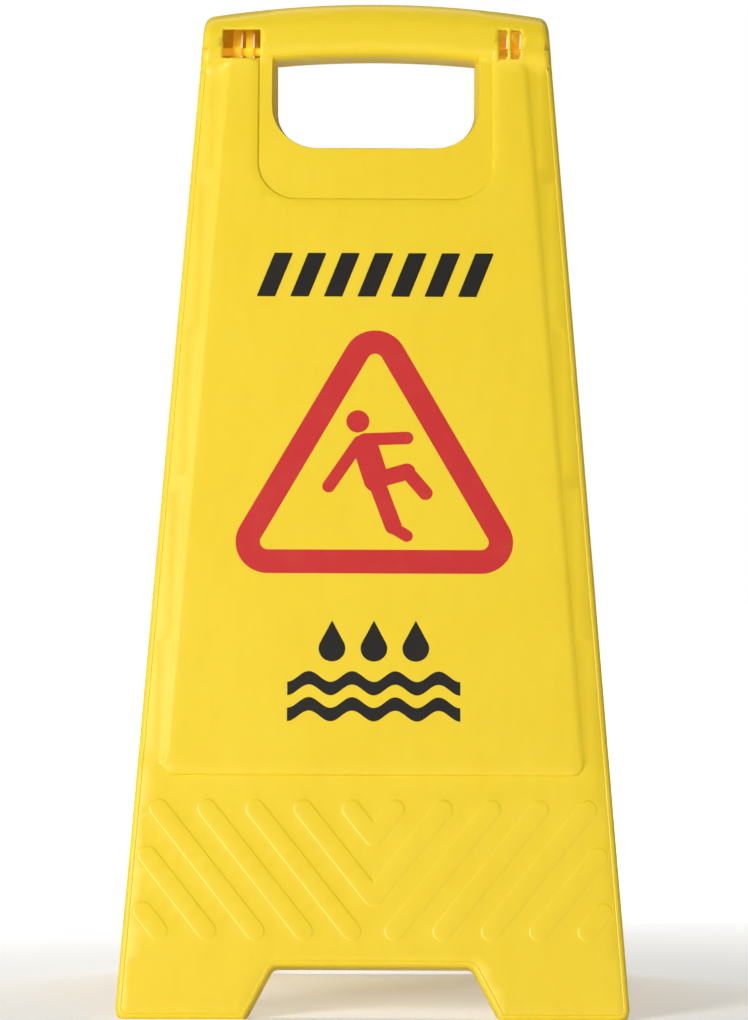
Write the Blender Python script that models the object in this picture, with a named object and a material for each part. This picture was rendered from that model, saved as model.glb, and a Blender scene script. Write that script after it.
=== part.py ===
"""Folding wet floor sign: two alike moulded panels that hook together at the handle and stand open.

Frame: metres, +Z up, X along the hinge. The front panel faces -Y, and the origin is on the floor below
the hinge. Each panel is drawn in its own frame: X across it, Z up it from the hinge axis, and -Y out of
its face, so "depth" is the distance in front of the parting plane where the two panels meet.
"""

import math

import bmesh
import bpy
from mathutils import Matrix, Vector

# Panel, seen from its front
PANEL_LENGTH = 0.619  # foot to the crown of the handle, along the panel
FOOT_WIDTH = 0.297
SHOULDER_WIDTH = 0.2062  # at the two ends of the handle bar
LEAN = math.radians(14.0)  # of each panel from upright, when the sign stands open
FOOT_CORNER = 0.006
NOTCH_HEIGHT = 0.031
NOTCH_TOP_WIDTH = 0.1146
NOTCH_FOOT_WIDTH = 0.147
NOTCH_CORNER = 0.005
NOTCH_FOOT_CORNER = 0.003

# Panel, from the parting plane out
BASE_DEPTH = 0.0140
FIELD_RISE = 0.0012  # of the printed field above the base face
STRIPE_RISE = 0.0006  # of the skirt's stripes above the base face
WALL = 0.0022
EDGE_ROUND = 0.0025
FIELD_ROUND = 0.0008
PARTING_GAP = 0.0004  # left between the two panels where they meet

# Handle bar and hand opening. A "drop" is a distance down the panel from the crown
BAR_DROP = 0.0356  # to the bar's lower edge at its middle
BAR_DEPTH = 0.0172
BAR_ARCH = 0.0087  # fall of the bar from its middle to its ends
BAR_SQUARENESS = 2.3  # exponent of the bar's section, 2 for an ellipse
BAR_UNDERSIDE = 5.0  # the same for its lower half, which is flatter
BAR_END_ROUND = 0.005
BAR_END_PROUD = 0.0001  # of the panel's sides
FLAT_DROP = 0.029  # to the top of the panel's flat part, inside the bar
OPENING_DROP = 0.0915  # to the opening's lower edge
OPENING_SIDE = 0.0453  # from the panel's side to the opening, at the hinge
OPENING_CORNER = 0.024

# Raised field, with a U cut out of its top for the opening's surround
FIELD_FOOT = 0.1428
FIELD_DROP = 0.033  # to the field's top edges, which run out under the bar
FIELD_MARGIN = 0.0142  # between the field and the panel's side
FIELD_CORNER = 0.008
SURROUND_MARGIN = 0.0107  # from the opening's side to the field
SURROUND_DROP = 0.1255
SURROUND_CORNER = 0.023

# Raised stripes on the skirt
STRIPE_FOOT = 0.0455
STRIPE_TOP = 0.1293
STRIPE_RADIUS = 0.0061
STRIPE_FIRST = 0.0123  # centre line to the lower end of the first whole stripe
STRIPE_SIDE = 0.0246  # from the panel's foot corner in to the lower end of the last stripe
STRIPE_ANGLE = math.radians(51.9)
STRIPE_CLEAR = 0.011  # stripe's centre line to the panel's side
CHEVRONS = 2
WHOLE_STRIPES = 5

# Hinge: a pin on one side of each panel, and two hooks on the other
HINGE_DROP = 0.029
PIN_RADIUS = 0.0025
HINGE_CLEARANCE = 0.0003  # round the pin
LUG_THICKNESS = 0.0022
LUG_WALL = 0.0021  # of the lug round the pin
HOOK_THICKNESS = 0.0022
HOOK_TIP = math.radians(235.0)  # how far round the pin a hook reaches, from straight ahead
HOOK_ROOT_RISE = 0.0027  # of the hook's root above its slot
WINDOW_RISE = 0.0090  # of a window's upper edge above the hinge axis
WINDOW_FALL = 0.0092  # of its lower edge below the hinge axis
WINDOW_SIDE = 0.0123  # from the panel's side to the pin's window, at the hinge
WINDOW_WIDTH = 0.0226
SLOT_WIDTHS = (0.0048, 0.0055)
SLOT_INSETS = (0.0043, 0.0115)  # of each slot from the inner end of the other panel's pin window
SLOT_CLEARANCE = 0.0002

# Print, a thin film in front of the field
INK_GAP = 0.0003
INK_THICKNESS = 0.0001
BANNER_WIDTH = 0.141
BANNER_FOOT = 0.4322
BANNER_HEIGHT = 0.0270
BANNER_BARS = 7
BANNER_FILL = 0.55  # of each bar's share of the banner
BANNER_SLANT = 0.0105  # sideways run of a bar's slanted edge
TRIANGLE_WIDTH = 0.163
TRIANGLE_FOOT = 0.2633
TRIANGLE_TIP = math.radians(59.2)  # angle between its two long sides
TRIANGLE_BAND = 0.0143
TRIANGLE_CORNER = 0.019
FIGURE_CENTRE = 0.3220
DROP_WIDTH = 0.0156
DROP_HEIGHT = 0.0245
DROP_PITCH = 0.0245
DROP_FOOT = 0.2105
DROPS = 3
WAVE_WIDTH = 0.101
WAVE_THICKNESS = 0.0080
WAVE_HEIGHT = 0.0032  # of each crest above the wave's middle
WAVES = (0.1975, 0.1820)  # height of each wave's middle up the panel
WAVE_CRESTS = 4

HINGE_HEIGHT = PANEL_LENGTH - HINGE_DROP
FLAT_TOP = PANEL_LENGTH - FLAT_DROP
AXIS_HEIGHT = HINGE_HEIGHT * math.cos(LEAN) - BASE_DEPTH * math.sin(LEAN)
FIELD_DEPTH = BASE_DEPTH + FIELD_RISE
SOLE_RISE = BASE_DEPTH * math.tan(LEAN)  # of the sole at the parting plane above the face's foot
STRIPE_PITCH = (FOOT_WIDTH / 2 - STRIPE_SIDE - STRIPE_FIRST) / (WHOLE_STRIPES - 1)
SPARE = 0.004  # how far a cutter runs past what it cuts
ARC_STEP = math.radians(18.0)

YELLOW = (0.89, 0.62, 0.035, 1.0)
RED = (0.68, 0.045, 0.05, 1.0)
BLACK = (0.035, 0.03, 0.025, 1.0)


# ---- outlines, as lists of (x, z) in a panel's frame ----


def up(height):
    """The panel's Z at a height up its face from the foot."""
    return height - HINGE_HEIGHT


def half_width(height):
    """Half of the panel's width at a height up its face."""
    share = height / (PANEL_LENGTH - BAR_ARCH)
    return (FOOT_WIDTH + (SHOULDER_WIDTH - FOOT_WIDTH) * share) / 2


HINGE_HALF_WIDTH = half_width(HINGE_HEIGHT)
OPENING_HALF_WIDTH = HINGE_HALF_WIDTH - OPENING_SIDE
WINDOW_FAR = HINGE_HALF_WIDTH - WINDOW_SIDE
WINDOW_NEAR = WINDOW_FAR - WINDOW_WIDTH
HOOK_SLOTS = [
    (WINDOW_NEAR + inset, WINDOW_NEAR + inset + width)
    for inset, width in zip(SLOT_INSETS, SLOT_WIDTHS)
]


def arc(centre, radius, start, end):
    """Points along an arc, both ends included."""
    steps = max(2, round(abs(end - start) / ARC_STEP))
    angles = [start + (end - start) * i / steps for i in range(steps + 1)]
    return [
        (centre[0] + radius * math.cos(a), centre[1] + radius * math.sin(a))
        for a in angles
    ]


def rounded(corners):
    """The closed outline through (x, z, radius) corners, with an arc of that radius at each."""
    points = []
    for i, (x, z, radius) in enumerate(corners):
        corner = Vector((x, z))
        before = (Vector(corners[i - 1][:2]) - corner).normalized()
        after = (Vector(corners[(i + 1) % len(corners)][:2]) - corner).normalized()
        if radius == 0:
            points.append((x, z))
            continue
        half_angle = before.angle(after) / 2
        centre = corner + (before + after).normalized() * radius / math.sin(half_angle)
        start = corner + before * radius / math.tan(half_angle) - centre
        end = corner + after * radius / math.tan(half_angle) - centre
        first = math.atan2(start.y, start.x)
        turn = math.remainder(math.atan2(end.y, end.x) - first, math.tau)
        points += arc(centre, radius, first, first + turn)
    return points


def mirrored(right_side):
    """A closed outline from the (x, z, radius) corners of its right side, listed from the foot up."""
    left_side = [(-x, z, radius) for x, z, radius in reversed(right_side)]
    return rounded(right_side + left_side)


def panel_outline(inset, foot, top):
    """The panel's side, foot and notch edges, moved inward by a distance."""
    slant = (NOTCH_FOOT_WIDTH - NOTCH_TOP_WIDTH) / 2 / NOTCH_HEIGHT
    top_half = NOTCH_TOP_WIDTH / 2 + inset * (math.hypot(1, slant) - slant)
    notch_half = top_half + slant * (NOTCH_HEIGHT + inset - foot)
    sharper = max(FOOT_CORNER - inset, 0.002)
    return mirrored(
        [
            (top_half, up(NOTCH_HEIGHT + inset), NOTCH_CORNER + inset),
            (notch_half, up(foot), NOTCH_FOOT_CORNER),
            (half_width(foot) - inset, up(foot), sharper),
            (half_width(top) - inset, up(top), 0),
        ]
    )


def opening_outline(margin):
    """The hand opening with a margin round it. Its top is inside the bar, which closes it."""
    half = OPENING_HALF_WIDTH + margin
    foot = PANEL_LENGTH - OPENING_DROP - margin
    return mirrored(
        [
            (half, up(foot), OPENING_CORNER + margin),
            (half, up(FLAT_TOP + SPARE + margin), 0),
        ]
    )


def field_outline():
    """The raised field: a trapezoid whose sides follow the panel's, less the surround's U."""
    top = PANEL_LENGTH - FIELD_DROP
    foot_half = half_width(FIELD_FOOT) - FIELD_MARGIN
    top_half = half_width(top) - FIELD_MARGIN
    surround = OPENING_HALF_WIDTH + SURROUND_MARGIN
    right = [
        (foot_half, up(FIELD_FOOT), FIELD_CORNER),
        (top_half, up(top), 0),
        (surround, up(top), 0),
        (surround, up(PANEL_LENGTH - SURROUND_DROP), SURROUND_CORNER),
    ]
    return mirrored(right)


def capsule(start, end, radius):
    """A straight stroke with round ends."""
    angle = math.atan2(end[1] - start[1], end[0] - start[0])
    quarter = math.pi / 2
    return arc(end, radius, angle - quarter, angle + quarter) + arc(
        start, radius, angle + quarter, angle + 3 * quarter
    )


def chevron(top_x, top_z):
    """Two strokes that slant down from their round tops and meet at the centre line."""
    quarter = math.pi / 2
    drop = top_x * math.tan(STRIPE_ANGLE)
    reach = STRIPE_RADIUS / math.cos(STRIPE_ANGLE)
    right = [(0.0, top_z - drop - reach)]
    right += arc(
        (top_x, top_z), STRIPE_RADIUS, STRIPE_ANGLE - quarter, STRIPE_ANGLE + quarter
    )
    left = [(-x, z) for x, z in reversed(right[1:])]
    return right + [(0.0, top_z - drop + reach)] + left


def stripe_outlines():
    """The skirt's stripes: chevrons at the centre line, then whole stripes out to each side."""
    foot = STRIPE_FOOT + STRIPE_RADIUS
    top = STRIPE_TOP - STRIPE_RADIUS
    run = (top - foot) / math.tan(STRIPE_ANGLE)
    outlines = []
    for i in range(CHEVRONS):
        top_x = STRIPE_FIRST + run - (i + 1) * STRIPE_PITCH
        outlines.append(chevron(top_x, up(top)))
    for i in range(WHOLE_STRIPES):
        foot_x = STRIPE_FIRST + i * STRIPE_PITCH
        # The stripe ends where it comes within STRIPE_CLEAR of the panel's slanted side.
        taper = (half_width(foot) - half_width(top)) / (top - foot)
        room = half_width(foot) - STRIPE_CLEAR - foot_x
        rise = min(top - foot, room / (1 / math.tan(STRIPE_ANGLE) + taper))
        top_x = foot_x + rise / math.tan(STRIPE_ANGLE)
        for side in (1, -1):
            outlines.append(
                capsule(
                    (side * foot_x, up(foot)),
                    (side * top_x, up(foot + rise)),
                    STRIPE_RADIUS,
                )
            )
    return outlines


def hook_outline():
    """A hook in (depth, z): a strap from the wall above its slot, over the pin and down behind it."""
    inner = PIN_RADIUS + HINGE_CLEARANCE
    outer = inner + HOOK_THICKNESS
    root = Vector((BAR_DEPTH - WALL * 0.6, WINDOW_RISE + HOOK_ROOT_RISE))
    middle = (inner + outer) / 2
    meets = math.atan2(root.y, root.x) + math.acos(middle / root.length)
    across = Vector((math.cos(meets), math.sin(meets))) * HOOK_THICKNESS / 2
    tip_centre = (middle * math.cos(HOOK_TIP), middle * math.sin(HOOK_TIP))
    outline = [tuple(root + across)]
    outline += arc((0, 0), outer, meets, HOOK_TIP)
    outline += arc(tip_centre, HOOK_THICKNESS / 2, HOOK_TIP, HOOK_TIP + math.pi)[1:-1]
    outline += arc((0, 0), inner, HOOK_TIP, meets)
    outline.append(tuple(root - across))
    return outline


def lug_outline():
    """A lug in (depth, z): a plate from the bar's wall that narrows to a round end on the hinge axis."""
    radius = PIN_RADIUS + LUG_WALL
    root = BAR_DEPTH - WALL * 0.7
    return arc((0, 0), radius, math.pi / 2, 3 * math.pi / 2) + [
        (root, -radius * 1.6),
        (root, radius * 1.6),
    ]


# ---- solids ----


def clear_scene():
    for obj in list(bpy.data.objects):
        bpy.data.objects.remove(obj)


def collection(name):
    made = bpy.data.collections.new(name)
    bpy.context.scene.collection.children.link(made)
    return made


def material(name, colour, roughness):
    made = bpy.data.materials.new(name)
    made.use_nodes = True
    shader = made.node_tree.nodes["Principled BSDF"]
    shader.inputs["Base Color"].default_value = colour
    shader.inputs["Roughness"].default_value = roughness
    shader.inputs["Metallic"].default_value = 0.0
    return made


def helper(name, mesh):
    """An object that only cuts or joins a panel, left out of the render."""
    obj = bpy.data.objects.new(name, mesh)
    cutters.objects.link(obj)
    obj.hide_render = True
    obj.display_type = "WIRE"
    return obj


def flat_solid(name, outlines, thickness, edge_round=0.0):
    """A mesh of closed outlines filled and thickened evenly about the XY plane, holes left open."""
    curve = bpy.data.curves.new(name, "CURVE")
    curve.dimensions = "2D"
    curve.fill_mode = "BOTH"
    curve.extrude = thickness / 2 - edge_round
    curve.bevel_depth = edge_round
    curve.bevel_resolution = 1
    curve.offset = -edge_round
    for outline in outlines:
        spline = curve.splines.new("POLY")
        spline.points.add(len(outline) - 1)
        spline.use_cyclic_u = True
        for point, (x, y) in zip(spline.points, outline):
            point.co = (x, y, 0, 1)
    obj = bpy.data.objects.new(name, curve)
    bpy.context.scene.collection.objects.link(obj)
    mesh = bpy.data.meshes.new_from_object(
        obj.evaluated_get(bpy.context.evaluated_depsgraph_get())
    )
    bpy.data.objects.remove(obj)
    work = bmesh.new()
    work.from_mesh(mesh)
    bmesh.ops.remove_doubles(work, verts=work.verts, dist=1e-6)
    bmesh.ops.recalc_face_normals(work, faces=work.faces)
    work.to_mesh(mesh)
    work.free()
    return mesh


def facing(name, outlines, back, front, edge_round=0.0):
    """Outlines in (x, z) as a slab of the panel between two depths."""
    mesh = flat_solid(name, outlines, front - back, edge_round)
    stand = Matrix.Rotation(math.pi / 2, 4, "X")
    mesh.transform(Matrix.Translation((0, -(front + back) / 2, 0)) @ stand)
    return mesh


def crosswise(name, outline, left, right):
    """An outline in (depth, z) as a plate between two places across the panel."""
    mesh = flat_solid(name, [outline], right - left)
    stand = Matrix(((0, 0, -1, 0), (-1, 0, 0, 0), (0, 1, 0, 0), (0, 0, 0, 1)))
    mesh.transform(Matrix.Translation(((left + right) / 2, 0, 0)) @ stand)
    mesh.update()
    return mesh


def together(name, meshes):
    """Separate solids as one mesh, so that one Boolean takes them all."""
    work = bmesh.new()
    for mesh in meshes:
        work.from_mesh(mesh)
    joined = bpy.data.meshes.new(name)
    work.to_mesh(joined)
    work.free()
    return joined


def bar_mesh(name, inset, back):
    """The handle bar's outer form, or the hollow in it when inset by the wall.

    It is a loft: a half superellipse, carried along the arch and drawn in at both ends to round them.
    """
    angles = [math.radians(a) for a in (90, 60, 30, 0)]
    ends = []
    for angle in angles:
        in_from_end = BAR_END_ROUND * (1 - math.sin(angle))
        drawn_in = BAR_END_ROUND * (1 - math.cos(angle))
        ends.append((1 - in_from_end / (SHOULDER_WIDTH / 2), drawn_in))
    inner = [(share / 6 * ends[-1][0], 0.0) for share in range(-5, 6)]
    stations = [(-x, s) for x, s in ends] + inner + list(reversed(ends))
    sections = []
    for across, drawn_in in stations:
        height = BAR_DROP / 2 - inset - drawn_in
        depth = BAR_DEPTH - inset - drawn_in
        middle = PANEL_LENGTH - BAR_DROP / 2 - BAR_ARCH * across**2
        section = [(back, middle - height)]
        for step in range(13):
            angle = math.radians(-90 + 15 * step)
            power = 2 / (BAR_SQUARENESS if angle > 0 else BAR_UNDERSIDE)
            reach = math.copysign(abs(math.sin(angle)) ** power, angle)
            section.append(
                (depth * abs(math.cos(angle)) ** power, middle + height * reach)
            )
        section.append((back, middle + height))
        sections.append(
            [
                (across * (half_width(place) + BAR_END_PROUD - inset), -out, up(place))
                for out, place in section
            ]
        )
    work = bmesh.new()
    rings = [[work.verts.new(point) for point in section] for section in sections]
    around = len(rings[0])
    for ring, following in zip(rings, rings[1:]):
        for i in range(around):
            j = (i + 1) % around
            work.faces.new((ring[i], ring[j], following[j], following[i]))
    work.faces.new(rings[0])
    work.faces.new(rings[-1])
    bmesh.ops.recalc_face_normals(work, faces=work.faces)
    mesh = bpy.data.meshes.new(name)
    work.to_mesh(mesh)
    work.free()
    return mesh


def box_mesh(name, low, high):
    """A box between two corners."""
    work = bmesh.new()
    size = [h - l for l, h in zip(low, high)]
    centre = [(h + l) / 2 for l, h in zip(low, high)]
    bmesh.ops.create_cube(work, size=1.0)
    bmesh.ops.scale(work, vec=size, verts=work.verts)
    bmesh.ops.translate(work, vec=centre, verts=work.verts)
    mesh = bpy.data.meshes.new(name)
    work.to_mesh(mesh)
    work.free()
    return mesh


def pin_mesh(left, right):
    """The hinge pin, a cylinder along X on the hinge axis."""
    work = bmesh.new()
    bmesh.ops.create_cone(
        work,
        cap_ends=True,
        segments=20,
        radius1=PIN_RADIUS,
        radius2=PIN_RADIUS,
        depth=right - left,
        matrix=Matrix.Translation(((left + right) / 2, 0, 0))
        @ Matrix.Rotation(math.pi / 2, 4, "Y"),
    )
    mesh = bpy.data.meshes.new("pin")
    work.to_mesh(mesh)
    work.free()
    return mesh


def combine(target, operation, mesh):
    """Cut a mesh from the target, or join it on, with an exact Boolean."""
    other = helper(f"{mesh.name}_{operation.lower()}", mesh)
    modifier = target.modifiers.new(mesh.name, "BOOLEAN")
    modifier.operation = operation
    modifier.solver = "EXACT"
    modifier.object = other


def add_face_relief(panel):
    """The hand opening, the raised field, the stripes and the handle bar."""
    combine(
        panel,
        "DIFFERENCE",
        facing("opening", [opening_outline(0)], -3 * SPARE, BASE_DEPTH + SPARE),
    )
    combine(
        panel,
        "UNION",
        facing("field", [field_outline()], WALL, FIELD_DEPTH, FIELD_ROUND),
    )
    combine(
        panel,
        "UNION",
        facing("stripes", stripe_outlines(), WALL * 3, BASE_DEPTH + STRIPE_RISE),
    )
    combine(panel, "UNION", bar_mesh("bar", 0.0, -SPARE))


def hollow_out(panel):
    """The back of the panel opened to an even wall, with a wall left round the opening."""
    inner = panel_outline(WALL, SOLE_RISE + WALL, FLAT_TOP + SPARE + 2 * WALL)
    combine(
        panel,
        "DIFFERENCE",
        facing(
            "hollow",
            [inner, opening_outline(WALL)],
            -3 * SPARE,
            BASE_DEPTH - WALL,
        ),
    )
    combine(panel, "DIFFERENCE", bar_mesh("bar_hollow", WALL, -1.5 * SPARE))


def cut_windows(panel):
    """The window in front of the pin and the slot in front of each hook."""
    boxes = []
    for left, right in ((-WINDOW_FAR, -WINDOW_NEAR), *HOOK_SLOTS):
        low = (left, -BAR_DEPTH - SPARE, -WINDOW_FALL)
        high = (right, -BASE_DEPTH / 2, WINDOW_RISE)
        boxes.append(box_mesh("window", low, high))
    combine(panel, "DIFFERENCE", together("windows", boxes))


def trim_outline():
    """All that is cut off behind the parting plane, behind the handle's lip and under the sole, in (depth, z).

    Standing open, the lips of the two handles meet on the upright plane through the hinge axis.
    """
    gap = PARTING_GAP / 2
    beyond = BAR_DEPTH + SPARE
    top = PANEL_LENGTH / 4
    foot = -PANEL_LENGTH * 1.5

    def on_sole(depth):
        return (depth, -(AXIS_HEIGHT + depth * math.sin(LEAN)) / math.cos(LEAN))

    lip = (gap * math.cos(LEAN) + top * math.sin(LEAN), top * math.cos(LEAN))
    meets = (gap, -gap * math.tan(LEAN / 2))
    back = [(-beyond, top * math.cos(LEAN)), (-beyond, foot), (beyond, foot)]
    return [meets, lip, *back, on_sole(beyond), on_sole(gap)]


def trim_to_meet(panel):
    """The back cut to the parting plane, the handle's lip to the open stop, and the soles to the floor."""
    trim = crosswise("trim", trim_outline(), -FOOT_WIDTH, FOOT_WIDTH)
    combine(panel, "DIFFERENCE", trim)


def add_hinge(panel):
    """The pin between its two lugs on one side, and the two hooks on the other."""
    outer = -WINDOW_FAR - LUG_THICKNESS - SLOT_CLEARANCE
    inner = -WINDOW_NEAR + LUG_THICKNESS + SLOT_CLEARANCE
    lugs = [
        crosswise("lug", lug_outline(), left, left + LUG_THICKNESS)
        for left in (outer, inner - LUG_THICKNESS)
    ]
    combine(panel, "UNION", together("lugs", lugs))
    overlap = LUG_THICKNESS / 2
    combine(panel, "UNION", pin_mesh(outer + overlap, inner - overlap))
    hooks = [
        crosswise("hook", hook_outline(), left + SLOT_CLEARANCE, right - SLOT_CLEARANCE)
        for left, right in HOOK_SLOTS
    ]
    combine(panel, "UNION", together("hooks", hooks))


def panel_mesh():
    """One moulded panel. The front and the back panel are the same moulding."""
    outline = panel_outline(0.0, 0.0, FLAT_TOP)
    blank = facing("panel", [outline], -2 * SPARE, BASE_DEPTH, EDGE_ROUND)
    panel = helper("panel_blank", blank)
    add_face_relief(panel)
    cut_windows(panel)
    hollow_out(panel)
    trim_to_meet(panel)
    add_hinge(panel)
    bpy.context.view_layer.update()
    mesh = bpy.data.meshes.new_from_object(
        panel.evaluated_get(bpy.context.evaluated_depsgraph_get())
    )
    mesh.name = "panel"
    mesh.materials.clear()
    mesh.materials.append(yellow)
    mesh.shade_smooth()
    mesh.set_sharp_from_angle(angle=math.radians(30))
    for obj in list(cutters.objects):
        bpy.data.objects.remove(obj)
    return mesh


# ---- print ----


def banner_outlines():
    """A row of slanted bars, in the place of the upper line of words."""
    pitch = (BANNER_WIDTH - BANNER_SLANT) / (BANNER_BARS - 1 + BANNER_FILL)
    bar = BANNER_FILL * pitch
    foot = up(BANNER_FOOT)
    top = foot + BANNER_HEIGHT
    outlines = []
    for i in range(BANNER_BARS):
        left = -BANNER_WIDTH / 2 + i * pitch
        outlines.append(
            [
                (left, foot),
                (left + bar, foot),
                (left + bar + BANNER_SLANT, top),
                (left + BANNER_SLANT, top),
            ]
        )
    return outlines


def drop_outline(x):
    """A water drop: a round belly, and straight sides that meet at the tip."""
    radius = DROP_WIDTH / 2
    belly = up(DROP_FOOT) + radius
    tip = DROP_HEIGHT - radius
    lean = math.asin(radius / tip)
    return arc((x, belly), radius, math.pi - lean, math.tau + lean) + [(x, belly + tip)]


def wave_outline(height):
    """A band that follows a sine from side to side."""
    steps = WAVE_CRESTS * 12
    places = [-WAVE_WIDTH / 2 + WAVE_WIDTH * i / steps for i in range(steps + 1)]
    turn = math.tau * WAVE_CRESTS / WAVE_WIDTH
    middle = [(x, up(height) - WAVE_HEIGHT * math.cos(turn * x)) for x in places]
    lower = [(x, z - WAVE_THICKNESS / 2) for x, z in middle]
    upper = [(x, z + WAVE_THICKNESS / 2) for x, z in reversed(middle)]
    return lower + upper


def triangle_outline(inset):
    """The warning triangle's edge, moved inward by a distance."""
    sharp = TRIANGLE_CORNER
    half_tip = TRIANGLE_TIP / 2
    foot = up(TRIANGLE_FOOT)
    # The sides are set out so that the rounded corners reach the stated width.
    half = TRIANGLE_WIDTH / 2 + sharp * (1 / math.tan((math.pi / 2 - half_tip) / 2) - 1)
    tip = foot + half / math.tan(half_tip)
    rise = inset / math.sin(half_tip)
    low = half - inset / math.cos(half_tip) - inset * math.tan(half_tip)
    return rounded(
        [
            (low, foot + inset, max(sharp - inset, 0.002)),
            (0.0, tip - rise, max(sharp - inset, 0.002)),
            (-low, foot + inset, max(sharp - inset, 0.002)),
        ]
    )


def figure_mesh(name, strokes):
    """A figure's limbs as round-ended strokes, joined and then thinned to one film.

    Each stroke is a little thicker than the last, so that no two have a face in one plane.
    """
    middle = up(FIGURE_CENTRE)
    back = FIELD_DEPTH + INK_GAP
    front = back + INK_THICKNESS
    solids = []
    for i, (start, end, radius) in enumerate(strokes):
        outline = capsule(
            (start[0], middle + start[1]), (end[0], middle + end[1]), radius
        )
        over = SPARE * (i + 1)
        solids.append(facing(f"{name}_{i + 1}", [outline], back - over, front + over))
    body = helper(name, solids[0])
    for solid in solids[1:]:
        combine(body, "UNION", solid)
    wide = TRIANGLE_WIDTH
    film = box_mesh("film", (-wide, -front, middle - wide), (wide, -back, middle + wide))
    combine(body, "INTERSECT", film)
    bpy.context.view_layer.update()
    mesh = bpy.data.meshes.new_from_object(
        body.evaluated_get(bpy.context.evaluated_depsgraph_get())
    )
    for obj in list(cutters.objects):
        bpy.data.objects.remove(obj)
    return mesh


def ink_slab(name, outlines):
    """A film of print, a little in front of the field."""
    back = FIELD_DEPTH + INK_GAP
    return facing(name, outlines, back, back + INK_THICKNESS)


# A figure of plain strokes that slips backward, as (start, end, radius) from the middle of the triangle.
FIGURE_BODY = (
    ((-0.0055, 0.0185), (0.0010, -0.0020), 0.0075),
    ((-0.0060, 0.0225), (0.0190, 0.0235), 0.0038),
    ((-0.0090, 0.0210), (-0.0270, -0.0060), 0.0038),
    ((0.0020, -0.0020), (0.0190, 0.0030), 0.0050),
    ((0.0190, 0.0030), (0.0300, -0.0100), 0.0042),
    ((0.0010, -0.0030), (0.0110, -0.0300), 0.0050),
    ((0.0110, -0.0310), (0.0190, -0.0360), 0.0036),
)
FIGURE_HEAD = ((-0.0100, 0.0335), 0.0068)


def print_meshes():
    """Each piece of print as (name, mesh, material)."""
    made = []
    for i, outline in enumerate(banner_outlines()):
        made.append((f"banner_bar_{i + 1}", [outline], black))
    band = [triangle_outline(0.0), triangle_outline(TRIANGLE_BAND)]
    made.append(("warning_triangle", band, red))
    (head_x, head_z), radius = FIGURE_HEAD
    head = arc((head_x, up(FIGURE_CENTRE) + head_z), radius, 0.0, math.tau)[:-1]
    made.append(("figure_head", [head], red))
    for i in range(DROPS):
        x = (i - (DROPS - 1) / 2) * DROP_PITCH
        made.append((f"water_drop_{i + 1}", [drop_outline(x)], black))
    for i, height in enumerate(WAVES):
        made.append((f"water_wave_{i + 1}", [wave_outline(height)], black))
    films = [(name, ink_slab(name, outlines), ink) for name, outlines, ink in made]
    films.append(("figure_body", figure_mesh("figure_body", FIGURE_BODY), red))
    return films


def place_panel(name, mesh, hinge):
    """A panel hung from its hinge empty, whose X axis is the hinge axis."""
    panel = bpy.data.objects.new(name, mesh)
    parts.objects.link(panel)
    panel.parent = hinge
    return panel


def hinge_empty(name, turn):
    """The frame that a panel is drawn in: on the hinge axis, leaning back from the foot up."""
    empty = bpy.data.objects.new(name, None)
    parts.objects.link(empty)
    empty.location = (0.0, 0.0, AXIS_HEIGHT)
    empty.rotation_euler = (-LEAN, 0.0, turn)
    return empty


def build():
    panel = panel_mesh()
    films = print_meshes()
    for side, turn in (("front", 0.0), ("back", math.pi)):
        hinge = hinge_empty(f"{side}_hinge_axis", turn)
        place_panel(f"{side}_panel", panel, hinge)
        for name, mesh, ink in films:
            film = bpy.data.objects.new(f"{side}_{name}", mesh)
            parts.objects.link(film)
            film.parent = hinge
            if not mesh.materials:
                mesh.materials.append(ink)
    bpy.context.view_layer.update()


clear_scene()
parts = collection("wet_floor_sign")
cutters = collection("cutters")
yellow = material("yellow_polypropylene", YELLOW, 0.35)
red = material("red_print", RED, 0.45)
black = material("black_print", BLACK, 0.45)
build()
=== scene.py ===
"""Visual model of a folding wet floor sign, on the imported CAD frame.

Both panels are one moulding. Its front is drawn as a height over the panel's plane: x across the
panel and s up it from the foot, both in millimetres, and "depth" out of the parting plane where the
two panels meet. The lines along which the form turns (rims, steps, the bar's sections) become the
edges of the triangles, so that each step stays crisp.
"""

import math

import bpy
import numpy as np
from mathutils import Matrix
from mathutils.geometry import delaunay_2d_cdt

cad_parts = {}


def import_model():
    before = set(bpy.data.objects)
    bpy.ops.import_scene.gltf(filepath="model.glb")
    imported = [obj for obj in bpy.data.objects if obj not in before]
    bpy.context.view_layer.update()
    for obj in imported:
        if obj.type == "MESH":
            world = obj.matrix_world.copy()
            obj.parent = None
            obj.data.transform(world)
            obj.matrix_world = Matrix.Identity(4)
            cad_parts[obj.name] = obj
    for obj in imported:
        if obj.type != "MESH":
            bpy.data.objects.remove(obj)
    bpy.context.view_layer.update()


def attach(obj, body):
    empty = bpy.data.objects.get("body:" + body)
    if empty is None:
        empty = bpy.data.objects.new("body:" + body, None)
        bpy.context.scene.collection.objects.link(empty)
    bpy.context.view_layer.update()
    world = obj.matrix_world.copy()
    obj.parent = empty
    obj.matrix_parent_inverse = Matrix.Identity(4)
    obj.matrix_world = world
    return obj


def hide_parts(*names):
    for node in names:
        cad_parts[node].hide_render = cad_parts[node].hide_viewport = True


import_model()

MM = 0.001

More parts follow.
